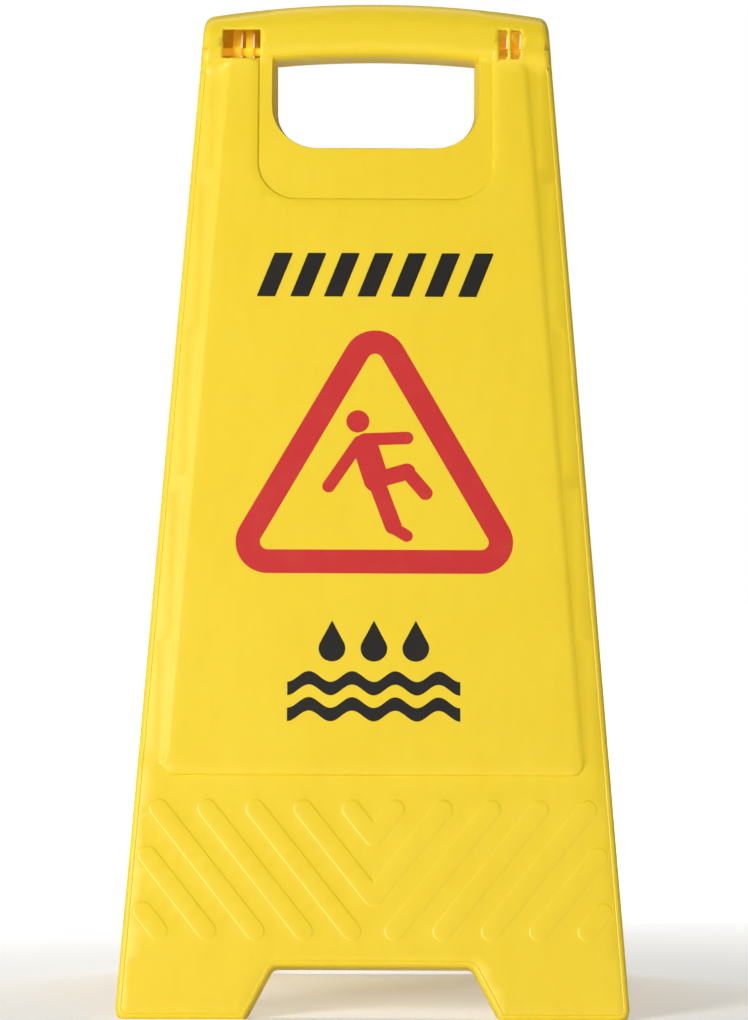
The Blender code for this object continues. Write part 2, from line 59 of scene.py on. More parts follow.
# The panel, in millimetres
LENGTH = 619.0
FOOT_WIDTH = 296.9
SHOULDER_WIDTH = 206.2
LEAN = math.radians(14.0)
AXIS_UP = 590.0
AXIS_WORLD = AXIS_UP * math.cos(LEAN) - 14.0 * math.sin(LEAN)
FOOT_CORNER = 6.5
NOTCH_HEIGHT = 31.0
NOTCH_TOP = 57.3  # half widths
NOTCH_FOOT = 73.5
NOTCH_CORNER = 5.0
NOTCH_FOOT_CORNER = 4.2
BASE = 14.0
WALL = 2.2
BACK = 0.2  # depth of the rim that meets the other panel
EDGE_ROUND = 3.0
LINE_IN = 3.5  # the fine line that runs round inside the rim
LINE_DEEP = 0.22
LINE_HALF = 0.45

# The raised field
FIELD_RISE = 1.2
FIELD_FOOT = 142.8
FIELD_MARGIN = 14.2
FIELD_CORNER = 8.0
FIELD_SLOPE_SIDE = 4.2  # how wide the step is along the sides
FIELD_SLOPE_FOOT = 1.1
SURROUND_HALF = 70.0
SURROUND_FOOT = 493.5
SURROUND_CORNER = 23.0
SURROUND_SLOPE = 1.3
MARGIN_TILT = math.tan(math.radians(5.0))

# The skirt's stripes
STRIPE_RISE = 0.4
STRIPE_FOOT = 45.5
STRIPE_TOP = 129.3
STRIPE_RADIUS = 6.1
STRIPE_PITCH = 27.9
STRIPE_FIRST = 12.3
STRIPE_ANGLE = math.radians(51.9)
STRIPE_CLEAR = 11.0
STRIPE_SOFT = 1.5

# The bar and the hand opening
BAR_HALF = 17.8
BAR_TOP = 619.0
BAR_DEPTH = 17.2
BAR_ARCH = 8.7
BAR_POWER = 2.3
UNDER_POWER = 5.0  # of the bar's lower half, which is flatter
BAR_END = 5.0
OPENING_HALF = 59.3
OPENING_FOOT = 528.0
OPENING_CORNER = 24.0
OPENING_DRAFT = 2.9  # how far the opening's wall leans out from back to front
OPENING_WALL_TOP = 575.0  # above this the hole's edge is the bar's
OPENING_BACK = 0.8  # depth at which that wall ends, just short of the other panel
FACE_TOP = AXIS_UP + 6.0  # where the flat face ends under the bar

# The hinge
WINDOWS = ((-92.3, -69.7), (74.0, 78.8), (81.2, 86.7))
WINDOW_FOOT = 580.8
WINDOW_TOP = 599.0
PIN = 2.5
HINGE_GAP = 0.3
LUG = 2.2
HOOK = 2.2
HOOK_TIP = math.radians(235.0)

# The print
INK_BACK = FIELD_RISE + BASE - 0.05
INK_FRONT = FIELD_RISE + BASE + 0.05
TRIANGLE_BAND = 14.3
DROP_PITCH = 24.5
WAVE_HEIGHTS = (197.5, 182.0)
WAVE_HALF_WIDTH = 50.5
WAVE_CRESTS = 4


# ---- plane geometry ----


def half_width(s):
    """Half of the panel's width at a height s up its face."""
    return (FOOT_WIDTH + (SHOULDER_WIDTH - FOOT_WIDTH) * s / (LENGTH - BAR_ARCH)) / 2


def arc(centre, radius, start, end, step=math.radians(6)):
    """Points along an arc, both ends included."""
    count = max(2, round(abs(end - start) / step))
    angle = np.linspace(start, end, count + 1)
    return np.stack(
        [centre[0] + radius * np.cos(angle), centre[1] + radius * np.sin(angle)], axis=1
    )


def rounded(corners, closed=True):
    """The line through (x, s, radius) corners, with an arc of that radius at each."""
    spots = np.array([corner[:2] for corner in corners], float)
    parts = []
    for i, (x, s, radius) in enumerate(corners):
        at_end = not closed and i in (0, len(corners) - 1)
        if radius == 0 or at_end:
            parts.append(np.array([[x, s]], float))
            continue
        before = spots[i - 1] - spots[i]
        after = spots[(i + 1) % len(spots)] - spots[i]
        before /= np.hypot(*before)
        after /= np.hypot(*after)
        half = math.acos(np.clip(before @ after, -1, 1)) / 2
        middle = before + after
        centre = spots[i] + middle / np.hypot(*middle) * radius / math.sin(half)
        first = spots[i] + before * radius / math.tan(half) - centre
        last = spots[i] + after * radius / math.tan(half) - centre
        start = math.atan2(first[1], first[0])
        turn = math.remainder(math.atan2(last[1], last[0]) - start, math.tau)
        parts.append(arc(centre, radius, start, start + turn))
    return np.concatenate(parts)


def spaced(line, step, closed=True):
    """The line with points added so that none are further apart than step."""
    ends = np.roll(line, -1, axis=0) if closed else line[1:]
    made = []
    for start, end in zip(line, ends):
        count = max(1, math.ceil(math.hypot(*(end - start)) / step))
        share = np.arange(count)[:, None] / count
        made.append(start + (end - start) * share)
    if not closed:
        made.append(line[-1:])
    return np.concatenate(made)


def mirrored(line):
    """A closed line from its right half, which is listed from the foot up."""
    return np.concatenate([line, line[::-1] * (-1, 1)])


def apart(points, line, closed=True):
    """Distance of each point from the nearest place on the line."""
    starts = line if closed else line[:-1]
    ends = np.roll(line, -1, axis=0) if closed else line[1:]
    run = ends - starts
    length = np.maximum((run**2).sum(1), 1e-12)
    found = np.empty(len(points))
    for i in range(0, len(points), 3000):
        some = points[i : i + 3000, None, :] - starts[None]
        share = np.clip((some * run).sum(2) / length, 0, 1)
        gap = some - share[..., None] * run
        found[i : i + 3000] = np.sqrt((gap**2).sum(2).min(1))
    return found


def inside(points, line):
    """Whether each point is inside the closed line."""
    x, s = points[:, 0], points[:, 1]
    found = np.zeros(len(points), bool)
    for (ax, bx), (cx, dx) in zip(line, np.roll(line, -1, axis=0)):
        if bx == dx:
            continue
        crosses = (bx > s) != (dx > s)
        found ^= crosses & (x < (cx - ax) * (s - bx) / (dx - bx) + ax)
    return found


def signed(points, line):
    """Distance from a closed line, positive inside it."""
    return np.where(inside(points, line), 1, -1) * apart(points, line)


def soft(t):
    t = np.clip(t, 0, 1)
    return t * t * (3 - 2 * t)


def larger(a, b, blend):
    """The larger of two heights, with a fillet of about that size where they meet."""
    share = np.clip(0.5 + 0.5 * (a - b) / blend, 0, 1)
    return b + (a - b) * share + blend * share * (1 - share)


# ---- lines of the panel ----


def bar_section(across):
    """(middle, half height, depth) of the bar at a share of the half width.

    Its ends are rounded: both sizes shrink by R - sqrt(R^2 - (R - e)^2) at e from the end.
    """
    end = np.clip((1 - np.abs(across)) * SHOULDER_WIDTH / 2 / BAR_END, 0, 1)
    drawn_in = BAR_END * (1 - np.sqrt(1 - (1 - end) ** 2))
    middle = BAR_TOP - BAR_HALF - BAR_ARCH * across**2
    return middle, BAR_HALF - drawn_in, BAR_DEPTH - drawn_in


def bar_depth(x, s):
    """The bar's front: the half superellipse |u|^p + |d / D|^p = 1 on each upright line."""
    middle, half, depth = bar_section(np.clip(np.abs(x) / half_width(s), 0, 1))
    u = np.abs(s - middle) / half
    power = np.where(s > middle, BAR_POWER, UNDER_POWER)
    form = depth * np.maximum(1 - u**power, 0) ** (1 / power)
    return np.where(u < 1, form, -1.0)


def lip_depth(s):
    """Depth of the moulding's back edge: the parting plane, and above the hinge the open stop."""
    return BACK + np.maximum(s - AXIS_UP, 0) * math.tan(LEAN)


def bar_crown(across):
    """How far up the bar reaches before the open stop cuts it, found by halving."""
    middle, half, depth = bar_section(across)
    low, high = np.zeros_like(across), np.ones_like(across)
    for _ in range(40):
        u = (low + high) / 2
        form = depth * np.maximum(1 - u**BAR_POWER, 0) ** (1 / BAR_POWER)
        above = form > lip_depth(middle + half * u)
        low, high = np.where(above, u, low), np.where(above, high, u)
    return middle + half * low


def silhouette():
    """The panel's outer line: notch, foot, side, the bar's rounded end and its arched top."""
    half_end = SHOULDER_WIDTH / 2
    turn = np.radians(np.arange(0, 91, 10))
    end = 1 - BAR_END * (1 - np.cos(turn)) / half_end
    across = np.concatenate([end, np.linspace(end[-1], 0, 60)[1:]])
    s = bar_crown(across)
    crown = np.stack([across * half_width(s), s], axis=1)
    side = rounded(
        [
            (0.0, NOTCH_HEIGHT, 0),
            (NOTCH_TOP, NOTCH_HEIGHT, NOTCH_CORNER),
            (NOTCH_FOOT, 0.0, NOTCH_FOOT_CORNER),
            (half_width(0.0), 0.0, FOOT_CORNER),
            (half_width(s[0] - 1.0), s[0] - 1.0, 0),
        ],
        closed=False,
    )
    right = spaced(np.concatenate([side[1:], crown[:-1]]), 2.5, closed=False)
    return np.concatenate([right, crown[-1:], right[::-1] * (-1, 1)])


def rim_line(inset):
    """The panel's edge moved inward, up to where it runs under the bar."""
    slant = (NOTCH_FOOT - NOTCH_TOP) / NOTCH_HEIGHT
    top = NOTCH_TOP + inset * (math.hypot(1, slant) - slant)
    foot = top + slant * NOTCH_HEIGHT
    lean = math.hypot(1, (FOOT_WIDTH - SHOULDER_WIDTH) / 2 / LENGTH)
    right = rounded(
        [
            (0.0, NOTCH_HEIGHT + inset, 0),
            (top, NOTCH_HEIGHT + inset, NOTCH_CORNER + inset),
            (foot, inset, max(NOTCH_FOOT_CORNER - inset, 0.8)),
            (half_width(inset) - inset * lean, inset, max(FOOT_CORNER - inset, 1.0)),
            (half_width(573.0) - inset * lean, 573.0, 0),
        ],
        closed=False,
    )
    right = spaced(right, 2.5, closed=False)
    return np.concatenate([right[::-1] * (-1, 1), right[1:]])


def field_line():
    """The field's outer edge, as a closed line whose top is under the bar."""
    return mirrored(
        rounded(
            [
                (0.0, FIELD_FOOT, 0),
                (half_width(FIELD_FOOT) - FIELD_MARGIN, FIELD_FOOT, FIELD_CORNER),
                (half_width(AXIS_UP) - FIELD_MARGIN, AXIS_UP, 0),
            ],
            closed=False,
        )[1:]
    )


def surround_line(margin=0.0):
    """The U that is cut from the field round the hand opening."""
    return mirrored(
        rounded(
            [
                (0.0, SURROUND_FOOT - margin, 0),
                (SURROUND_HALF + margin, SURROUND_FOOT - margin, SURROUND_CORNER + margin),
                (SURROUND_HALF + margin, AXIS_UP, 0),
            ],
            closed=False,
        )[1:]
    )


def opening_line(margin=0.0):
    """The hand opening at the back of its wall, moved outward by a margin."""
    return mirrored(
        rounded(
            [
                (0.0, OPENING_FOOT - margin, 0),
                (OPENING_HALF + margin, OPENING_FOOT - margin, OPENING_CORNER + margin),
                (OPENING_HALF + margin, AXIS_UP, 0),
            ],
            closed=False,
        )[1:]
    )


def capsule(start, end, radius):
    """A straight stroke with round ends, as a closed line."""
    angle = math.atan2(end[1] - start[1], end[0] - start[0])
    quarter = math.pi / 2
    return np.concatenate(
        [
            arc(end, radius, angle - quarter, angle + quarter, math.radians(9)),
            arc(start, radius, angle + quarter, angle + 3 * quarter, math.radians(9)),
        ]
    )


def stripe_strokes():
    """Each stripe of the skirt as (start, end): two chevrons, then whole stripes to each side."""
    foot = STRIPE_FOOT + STRIPE_RADIUS
    top = STRIPE_TOP - STRIPE_RADIUS
    tan = math.tan(STRIPE_ANGLE)
    run = (top - foot) / tan
    groups = []
    for i in range(2):
        top_x = STRIPE_FIRST + run - (i + 1) * STRIPE_PITCH
        low = (0.0, top - top_x * tan)
        groups.append([(low, (top_x, top)), (low, (-top_x, top))])
    taper = (half_width(foot) - half_width(top)) / (top - foot)
    for i in range(5):
        foot_x = STRIPE_FIRST + i * STRIPE_PITCH
        room = half_width(foot) - STRIPE_CLEAR - foot_x
        rise = min(top - foot, room / (1 / tan + taper))
        for side in (1, -1):
            end = (side * (foot_x + rise / tan), foot + rise)
            groups.append([((side * foot_x, foot), end)])
    return groups


# ---- height of the panel's front ----


def rim_drop(gap):
    """How far the face has fallen at a distance in from its edge: a quarter circle."""
    short = np.clip(EDGE_ROUND - gap, 0, EDGE_ROUND)
    return EDGE_ROUND - np.sqrt(EDGE_ROUND**2 - short**2)


def front_depth(points, outline, holes_edge):
    """Depth of the panel's front at each (x, s), given its distance out from the hole's edge.

    depth = max(min(base + field + stripes - tilt - rim - line, opening wall), bar), where the field
    rises over a wide slope at its sides and a narrow one at its foot and round the opening. The
    larger and the smaller are taken with a fillet.
    """
    x, s = points[:, 0], points[:, 1]
    in_field = signed(points, field_line())
    out_surround = -signed(points, surround_line())
    wide = FIELD_SLOPE_FOOT + (FIELD_SLOPE_SIDE - FIELD_SLOPE_FOOT) * soft(
        (s - FIELD_FOOT) / 14
    )
    step = np.clip(np.minimum(in_field / wide, out_surround / SURROUND_SLOPE), 0, 1)
    depth = BASE + FIELD_RISE * (1 - (1 - step) ** 1.7)
    beside = np.clip(-in_field, 0, FIELD_MARGIN)
    depth -= beside * MARGIN_TILT * soft((s - 138 - beside * 0.6) / 16) * (s < 600)
    skirt = s < STRIPE_TOP + 2
    rise = np.zeros(len(points))
    for group in stripe_strokes():
        for start, end in group:
            gap = apart(points[skirt], np.array([start, end]), closed=False)
            rise[skirt] = np.maximum(
                rise[skirt], soft((STRIPE_RADIUS - gap) / STRIPE_SOFT)
            )
    depth += STRIPE_RISE * rise
    gap = apart(points, outline)
    near_line = np.clip(1 - np.abs(gap - LINE_IN) / LINE_HALF, 0, 1)
    depth -= LINE_DEEP * near_line + rim_drop(gap)
    wall = BACK + (BASE - BACK) / OPENING_DRAFT * np.maximum(holes_edge, 0)
    depth = -larger(-depth, -wall, 1.2)
    # The flat face ends under the bar, so that it doesn't fill out the bar's upper half.
    depth = np.where(s > FACE_TOP, BACK, depth)
    # Beside the opening the bar flows into the face, and over the opening it keeps a crisp edge.
    blend = 0.7 + 2.6 * soft((np.abs(x) - OPENING_HALF - 1) / 6)
    return larger(bar_depth(x, s), np.maximum(depth, BACK), blend)


# ---- the moulding's skin ----


def bar_lines():
    """Lines along the bar at equal turns of its section, in pieces that stay on it."""
    lines = []
    across = np.linspace(-1, 1, 97)
    ends = 1 - BAR_END * (1 - np.cos(np.radians(np.arange(10, 81, 10)))) / 103.1
    across = np.unique(np.concatenate([across, ends, -ends]))
    middle, half, _ = bar_section(across)
    for degrees in range(-84, 90, 6):
        turn = math.radians(degrees)
        power = 2 / (BAR_POWER if turn > 0 else UNDER_POWER)
        u = math.copysign(abs(math.sin(turn)) ** power, turn)
        s = middle + half * u
        lines.append(np.stack([across * half_width(s), s], axis=1))
    return lines


def hole_line():
    """The hand opening's edge at the parting plane: its wall, closed by the bar's lower edge."""
    across = np.linspace(1, -1, 121)
    middle, half, _ = bar_section(across)
    s = middle - half * 0.9995
    lower = np.stack([across * half_width(s), s], axis=1)
    lower = lower[np.abs(lower[:, 0]) < OPENING_HALF - 0.5]
    wall = opening_line()
    top = np.interp(OPENING_HALF, lower[::-1, 0], lower[::-1, 1])
    wall = wall[wall[:, 1] < top - 1]
    sides = np.array([[OPENING_HALF, top], [-OPENING_HALF, top]])
    half_count = len(wall) // 2
    right, left = wall[:half_count], wall[half_count:]
    loop = np.concatenate([right, sides[:1], lower, sides[1:], left])
    return spaced(loop, 1.6)


def window_line(left, right):
    """A hinge window's edge, with small corners."""
    return spaced(
        rounded(
            [
                (left, WINDOW_FOOT, 0.9),
                (right, WINDOW_FOOT, 0.9),
                (right, WINDOW_TOP, 0.9),
                (left, WINDOW_TOP, 0.9),
            ]
        ),
        1.5,
    )


def moved_in(line, distance):
    """A line's points moved along its left normals by a distance each."""
    run = np.roll(line, -1, axis=0) - np.roll(line, 1, axis=0)
    run /= np.maximum(np.hypot(run[:, 0], run[:, 1]), 1e-9)[:, None]
    normal = np.stack([-run[:, 1], run[:, 0]], axis=1)
    return line + normal * distance[:, None]


def turning_lines():
    """The lines along which the front turns, as (points, closed)."""
    lines = []
    turn = np.radians([12, 25, 38, 51, 64, 77, 90])
    insets = list(EDGE_ROUND * (1 - np.cos(turn)))
    insets += [LINE_IN - LINE_HALF, LINE_IN, LINE_IN + LINE_HALF]
    for inset in insets:
        lines.append((rim_line(inset), False))
    field = spaced(field_line(), 3.0)
    field = field[field[:, 1] < AXIS_UP - 4]
    start = np.argmax(field[:, 1] * (field[:, 0] < 0))
    field = np.roll(field, -start, axis=0)
    wide = FIELD_SLOPE_FOOT + (FIELD_SLOPE_SIDE - FIELD_SLOPE_FOOT) * soft(
        (field[:, 1] - FIELD_FOOT) / 14
    )
    for share in (0, 0.12, 0.27, 0.44, 0.62, 0.8, 1.0):
        moved = moved_in(field, wide * share)
        lines.append((moved[1:-1], False))
    for share in (0, 0.25, 0.5, 0.75, 1.0):
        line = spaced(surround_line(share * SURROUND_SLOPE), 2.0)
        line = line[line[:, 1] < AXIS_UP - 3]
        start = np.argmax(line[:, 1] * (line[:, 0] < 0))
        lines.append((np.roll(line, -start, axis=0), False))
    for margin in (0.5, 1.2, 1.9, 2.4, 2.8, 3.2, 3.8, 4.6):
        line = spaced(opening_line(margin), 1.6)
        line = line[line[:, 1] < AXIS_UP - 3]
        start = np.argmax(line[:, 1] * (line[:, 0] < 0))
        lines.append((np.roll(line, -start, axis=0), False))
    for group in stripe_strokes():
        for start, end in group:
            for inset in (0, 0.3, 0.75, 1.2, STRIPE_SOFT):
                stroke = capsule(start, end, STRIPE_RADIUS - inset)
                lines.append((spaced(stroke, 3.0), True))
    return lines


def triangulated(lines, loose):
    """Points and triangles over the whole plane that keep every line's edges."""
    spots, edges = [], []
    for line, closed in lines:
        first = len(spots)
        spots += [tuple(point) for point in line]
        edges += [(i, i + 1) for i in range(first, len(spots) - 1)]
        if closed:
            edges.append((len(spots) - 1, first))
    spots += [tuple(point) for point in loose]
    made = delaunay_2d_cdt(spots, edges, [], 0, 1e-4)
    return np.array(made[0], float), np.array(made[2], int)


def front_skin():
    """(x, s, depth) points and triangles of the panel's front, with its outer line."""
    outline = silhouette()
    hole = hole_line()
    windows = [window_line(left, right) for left, right in WINDOWS]
    lines = turning_lines()
    bar = []
    for line in bar_lines():
        middle = bar_depth(line[:, 0], line[:, 1])
        over_hole = np.abs(line[:, 0]) < OPENING_HALF + 3.5
        on = (middle > BASE - 0.6) | over_hole
        on &= signed(line, outline) > 0.4
        on &= ~inside(line, hole) & (apart(line, hole) > 0.15)
        for left, right in WINDOWS:
            near = (line[:, 0] > left - 0.4) & (line[:, 0] < right + 0.4)
            near &= (line[:, 1] > WINDOW_FOOT - 0.4) & (line[:, 1] < WINDOW_TOP + 0.4)
            on &= ~near
        for run in np.split(np.arange(len(line)), np.flatnonzero(np.diff(on)) + 1):
            if on[run[0]] and len(run) > 1:
                bar.append((line[run], False))
    x, s = np.meshgrid(np.arange(-147, 148, 7.0), np.arange(3.5, 575, 7.0))
    loose = np.stack([x.ravel(), s.ravel()], axis=1)
    far = signed(loose, outline) > 6
    far &= ~inside(loose, opening_line(6.0))
    for line, closed in lines:
        far &= apart(loose, line, closed) > 1.5
    every = lines + bar + [(outline, True), (hole, True)]
    every += [(window, True) for window in windows]
    points, faces = triangulated(every, loose[far])
    middles = points[faces].mean(axis=1)
    kept = inside(middles, outline) & ~inside(middles, hole)
    for window in windows:
        kept &= ~inside(middles, window)
    faces = faces[kept]
    used, faces = np.unique(faces, return_inverse=True)
    points, faces = points[used], faces.reshape(-1, 3)
    across = np.where(inside(points, hole), -1, 1) * apart(points, hole)
    depth = front_depth(points, outline, across)
    # The skin ends at the parting plane round the hole, and a leaning wall a little short of it.
    edge = np.abs(across) < 0.02
    depth[edge] = np.where(points[edge, 1] > OPENING_WALL_TOP, BACK, OPENING_BACK)
    depth = np.maximum(depth, lip_depth(points[:, 1]))
    return np.column_stack([points, depth]), faces, outline


def border_edges(faces):
    """Directed edges that belong to one triangle only."""
    ends = np.concatenate([faces[:, [0, 1]], faces[:, [1, 2]], faces[:, [2, 0]]])
    whole = np.sort(ends, axis=1)
    _, first, count = np.unique(whole, axis=0, return_index=True, return_counts=True)
    return ends[first[count == 1]]


def moulding():
    """The whole outer skin: the front, and the side walls from its outer line back to the rim.

    Side walls fall straight back in even shares, and the feet are cut level by
    s >= (base - depth) tan(lean).
    """
    points, faces, outline = front_skin()
    area = np.cross(
        points[faces[:, 1], :2] - points[faces[:, 0], :2],
        points[faces[:, 2], :2] - points[faces[:, 0], :2],
    )
    faces[area < 0] = faces[area < 0][:, ::-1]
    edges = border_edges(faces)
    on_rim = apart(points[:, :2], outline) < 0.02
    edges = edges[on_rim[edges].all(axis=1)]
    # The sole is level, so the foot's rounded edge starts a little higher up.
    sole = (BASE - points[:, 2]) * math.tan(LEAN) * (points[:, 1] < 3)
    points[:, 1] = np.maximum(points[:, 1], sole)
    ring = np.unique(edges)
    below = points[ring]
    lip = lip_depth(below[:, 1])
    shares = (0.25, 0.5, 0.75, 1.0)
    made, quads = [points], []
    upper = np.arange(len(points))
    count = len(points)
    for share in shares:
        level = below.copy()
        level[:, 2] = below[:, 2] + (lip - below[:, 2]) * share
        floor = (BASE - level[:, 2]) * math.tan(LEAN)
        level[:, 1] = np.maximum(level[:, 1], floor)
        place = np.full(len(points), -1)
        place[ring] = count + np.arange(len(ring))
        start, end = edges[:, 0], edges[:, 1]
        quads.append(np.stack([upper[end], upper[start], place[start], place[end]], 1))
        made.append(level)
        upper = place
        count += len(ring)
    return np.concatenate(made), faces, np.concatenate(quads)


# ---- placing ----


def world(points, turn):
    """(x, s, depth) of a panel as metres in the row frame, for the panel turned about Z."""
    local = np.column_stack([points[:, 0], -points[:, 2], points[:, 1] - AXIS_UP]) * MM
    lean = np.array(Matrix.Rotation(turn, 3, "Z") @ Matrix.Rotation(-LEAN, 3, "X"))
    return local @ lean.T + (0.0, 0.0, AXIS_WORLD * MM)


def add_piece(name, points, faces, material, side, stands_for=()):
    """A mesh object at the origin that rides on its side's body."""
    mesh = bpy.data.meshes.new(name)
    mesh.from_pydata(points.tolist(), [], [list(map(int, face)) for face in faces])
    mesh.materials.append(material)
    mesh.validate()
    mesh.shade_smooth()
    mesh.set_sharp_from_angle(angle=math.radians(38))
    obj = bpy.data.objects.new(name, mesh)
    bpy.context.scene.collection.objects.link(obj)
    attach(obj, side)
    if stands_for:
        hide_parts(*stands_for)
    return obj


def slab(outline_lines, back, front):
    """A closed plate over every place inside an odd number of closed lines."""
    points, faces = triangulated([(line, True) for line in outline_lines], [])
    middles = points[faces].mean(axis=1)
    odd = np.zeros(len(faces), bool)
    for line in outline_lines:
        odd ^= inside(middles, line)
    return thick(points, faces[odd], back, front)


def joined_slab(strokes, back, front):
    """A closed plate over every place inside any of the strokes."""
    outlines = [capsule(start, end, radius) for start, end, radius in strokes]
    points, faces = triangulated([(line, True) for line in outlines], [])
    middles = points[faces].mean(axis=1)
    any_of = np.zeros(len(faces), bool)
    for line in outlines:
        any_of |= inside(middles, line)
    return thick(points, faces[any_of], back, front)


def thick(points, faces, back, front):
    """A flat patch given two sides and an edge, as (x, s, depth) points and faces."""
    used, faces = np.unique(faces, return_inverse=True)
    points, faces = points[used], faces.reshape(-1, 3)
    area = np.cross(
        points[faces[:, 1]] - points[faces[:, 0]],
        points[faces[:, 2]] - points[faces[:, 0]],
    )
    faces[area < 0] = faces[area < 0][:, ::-1]
    count = len(points)
    ends = border_edges(faces)
    walls = np.stack([ends[:, 1], ends[:, 0], ends[:, 0] + count, ends[:, 1] + count], 1)
    both = np.concatenate(
        [
            np.column_stack([points, np.full(count, front)]),
            np.column_stack([points, np.full(count, back)]),
        ]
    )
    return both, [*faces, *(faces[:, ::-1] + count), *walls]


# ---- hinge ----


def crosswise(outline, left, right):
    """A closed plate from an outline in (depth, rise above the axis), between two x."""
    points, faces = triangulated([(outline, True)], [])
    middles = points[faces].mean(axis=1)
    solid, walls = thick(points, faces[inside(middles, outline)], left, right)
    turned = np.column_stack([solid[:, 2], solid[:, 1] + AXIS_UP, solid[:, 0]])
    return turned, [face[::-1] for face in walls]


def hook_outline():
    """A strap from above its slot, over the pin and down behind it."""
    inner = PIN + HINGE_GAP
    outer = inner + HOOK
    root = np.array([BAR_DEPTH - WALL * 0.9, WINDOW_TOP - AXIS_UP + 2.7])
    middle = (inner + outer) / 2
    reach = math.hypot(*root)
    meets = math.atan2(root[1], root[0]) + math.acos(middle / reach)
    across = np.array([math.cos(meets), math.sin(meets)]) * HOOK / 2
    tip = (middle * math.cos(HOOK_TIP), middle * math.sin(HOOK_TIP))
    return np.concatenate(
        [
            [root + across],
            arc((0, 0), outer, meets, HOOK_TIP),
            arc(tip, HOOK / 2, HOOK_TIP, HOOK_TIP + math.pi)[1:-1],
            arc((0, 0), inner, HOOK_TIP, meets),
            [root - across],
        ]
    )


def lug_outline():
    """A plate behind the wall that narrows to a round end on the hinge axis."""
    root = BASE - WALL * 0.5
    return np.concatenate(
        [
            arc((0, 0), PIN + 2.1, math.pi / 2, 3 * math.pi / 2),
            [[root, -7.4], [root, 7.4]],
        ]
    )


def pin_outline():
    return arc((0, 0), PIN, 0, math.tau)[:-1]


def hinge_parts():
    """Each hinge plate as (name, points, faces)."""
    left, right = WINDOWS[0]
    outer, inner = left - LUG - 0.2, right + LUG + 0.2
    parts = [
        ("hinge_lug_outer", *crosswise(lug_outline(), outer, outer + LUG)),
        ("hinge_lug_inner", *crosswise(lug_outline(), inner - LUG, inner)),
        ("hinge_pin", *crosswise(pin_outline(), outer + 0.6, inner - 0.6)),
    ]
    for i, (low, high) in enumerate(WINDOWS[1:]):
        parts.append((f"hinge_hook_{i + 1}", *crosswise(hook_outline(), low + 0.2, high - 0.2)))
    return parts


# ---- print ----


def banner_shapes():
    """A row of slanted bars, in the place of the upper line of words."""
    width, foot, height, bars, slant = 141.0, 432.2, 27.0, 7, 10.5
    pitch = (width - slant) / (bars - 0.45)
    made = []
    for i in range(bars):
        left = -width / 2 + i * pitch
        right = left + 0.55 * pitch
        corners = [(left, foot), (right, foot)]
        corners += [(right + slant, foot + height), (left + slant, foot + height)]
        made.append(rounded([(x, s, 0.5) for x, s in corners]))
    return made


def triangle_line(inset):
    """The warning triangle's edge, moved inward."""
    width, foot, tip_half, corner = 163.0, 263.3, math.radians(29.6), 19.0
    half = width / 2 + corner * (1 / math.tan((math.pi / 2 - tip_half) / 2) - 1)
    tip = foot + half / math.tan(tip_half) - inset / math.sin(tip_half)
    low = half - inset / math.cos(tip_half) - inset * math.tan(tip_half)
    radius = max(corner - inset, 2.0)
    return rounded([(low, foot + inset, radius), (0.0, tip, radius), (-low, foot + inset, radius)])


def drop_line(x):
    """A water drop: a round belly, and straight sides that meet at the tip."""
    radius = 7.8
    belly, tip = 210.5 + radius, 24.5 - radius
    lean = math.asin(radius / tip)
    round_part = arc((x, belly), radius, math.pi - lean, math.tau + lean)
    return np.concatenate([round_part, [[x, belly + tip]]])


def wave_line(height):
    """A band that follows a cosine from side to side."""
    crest, half_thick = 3.2, 4.0
    x = np.linspace(-WAVE_HALF_WIDTH, WAVE_HALF_WIDTH, 97)
    turn = math.tau * WAVE_CRESTS / (2 * WAVE_HALF_WIDTH)
    middle = height - crest * np.cos(turn * x)
    lower = np.column_stack([x, middle - half_thick])
    upper = np.column_stack([x, middle + half_thick])[::-1]
    return np.concatenate([lower, upper])


FIGURE_MIDDLE = 322.0
FIGURE_STROKES = (
    ((-5.5, 18.5), (1.0, -2.0), 7.5),
    ((-6.0, 22.5), (19.0, 23.5), 3.8),
    ((-9.0, 21.0), (-27.0, -6.0), 3.8),
    ((2.0, -2.0), (19.0, 3.0), 5.0),
    ((19.0, 3.0), (30.0, -10.0), 4.2),
    ((1.0, -3.0), (11.0, -30.0), 5.0),
    ((11.0, -31.0), (19.0, -36.0), 3.6),
)
FIGURE_HEAD = ((-10.0, 33.5), 6.8)


def print_parts():
    """Each mark as (name, points, faces, whether it is red)."""
    made = []
    for i, line in enumerate(banner_shapes()):
        made.append((f"banner_bar_{i + 1}", *slab([line], INK_BACK, INK_FRONT), False))
    band = [triangle_line(0.0), triangle_line(TRIANGLE_BAND)]
    made.append(("warning_triangle", *slab(band, INK_BACK, INK_FRONT), True))
    (x, s), radius = FIGURE_HEAD
    head = arc((x, FIGURE_MIDDLE + s), radius, 0, math.tau)[:-1]
    made.append(("figure_head", *slab([head], INK_BACK, INK_FRONT), True))
    strokes = [
        ((a, FIGURE_MIDDLE + b), (c, FIGURE_MIDDLE + d), radius)
        for (a, b), (c, d), radius in FIGURE_STROKES
    ]
    made.append(("figure_body", *joined_slab(strokes, INK_BACK, INK_FRONT), True))
    for i in range(3):
        drop = slab([drop_line((i - 1) * DROP_PITCH)], INK_BACK, INK_FRONT)
        made.append((f"water_drop_{i + 1}", *drop, False))
    for i, height in enumerate(WAVE_HEIGHTS):
        wave = slab([wave_line(height)], INK_BACK, INK_FRONT)
        made.append((f"water_wave_{i + 1}", *wave, False))
    return made


# ---- materials ----


def linear(code):
    """A hex sRGB colour as linear RGBA."""
    parts = [int(code[i : i + 2], 16) / 255 for i in (0, 2, 4)]
    parts = [p / 12.92 if p <= 0.04045 else ((p + 0.055) / 1.055) ** 2.4 for p in parts]
    return (*parts, 1.0)


